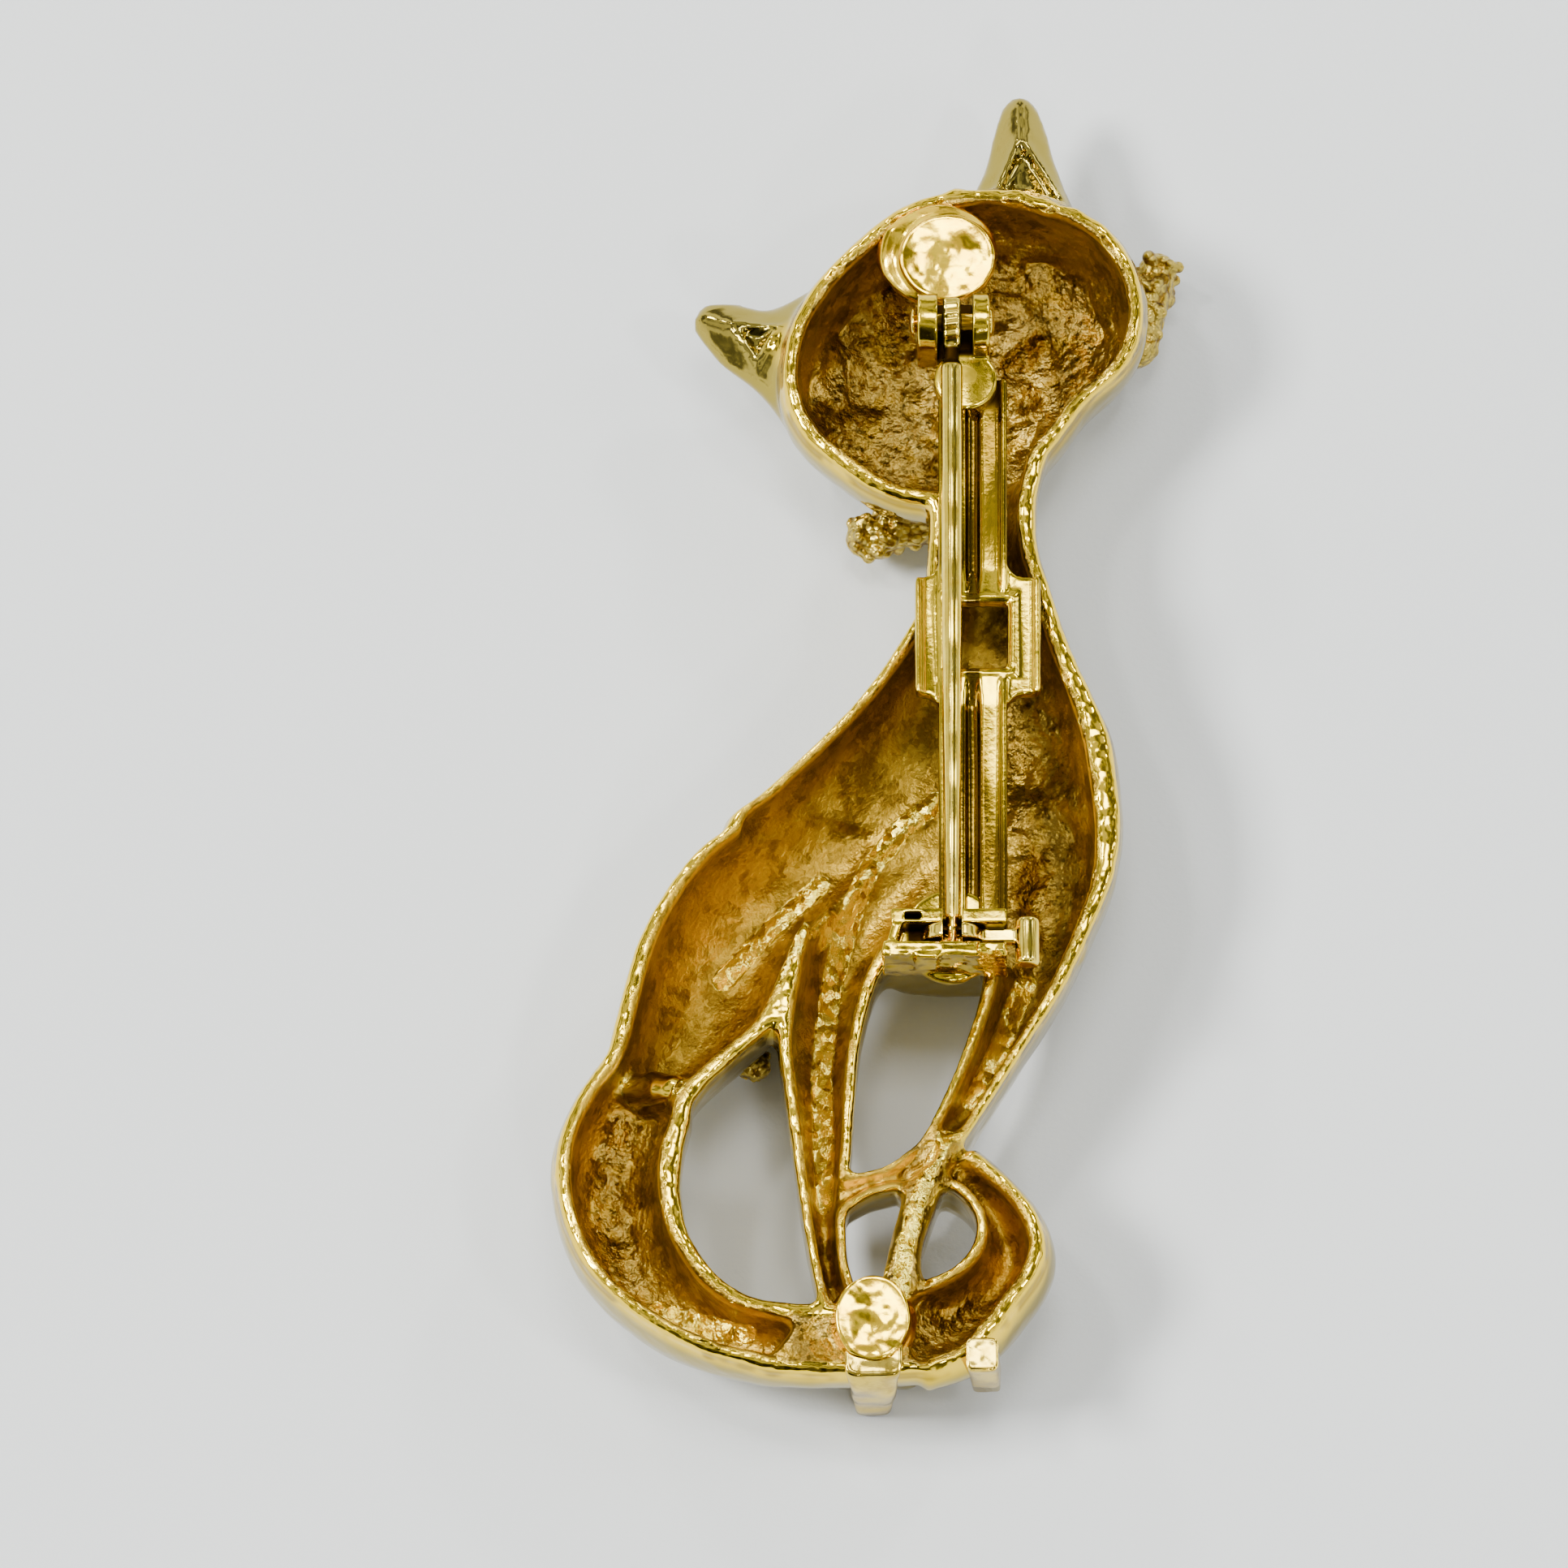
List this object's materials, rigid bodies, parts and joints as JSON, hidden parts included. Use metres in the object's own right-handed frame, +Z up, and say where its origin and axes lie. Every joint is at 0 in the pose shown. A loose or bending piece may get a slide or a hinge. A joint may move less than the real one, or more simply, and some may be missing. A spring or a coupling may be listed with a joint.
{
  "type": "figural animal brooch",
  "caption": "Seated cat brooch cast as a hollow gold plated shell, lying face down, with a riveted pin back, hinged pin and turning safety catch.",
  "frame": {"origin": "middle of the footprint on the table, under the brooch lying face down", "axes": "+Z up out of the open back, +Y from the feet to the ears, +X to the right as the back is seen"},
  "size_m": [0.031, 0.0678, 0.0119],
  "materials": {
    "cast_gold": "polished",
    "findings_gold": "polished",
    "pin_gold": "polished"
  },
  "bodies": {
    "brooch": {"cast_cat": "cast_gold", "pin_back": "findings_gold", "hinge_rivet": "pin_gold"},
    "pin": {"pin_stem": "pin_gold"},
    "catch": {"catch_ring": "pin_gold"}
  },
  "joints": [
    {"name": "pin_swing", "type": "hinge", "parent": "brooch", "child": "pin", "pos_m": [0.00428, 0.02024, 0.01045], "axis": [-1, 0, 0], "range_deg": [0, 110]},
    {"name": "catch_turn", "type": "hinge", "parent": "brooch", "child": "catch", "pos_m": [0.00428, -0.01179, 0.01045], "axis": [0, -1, 0], "range_deg": [0, 90]}
  ]
}
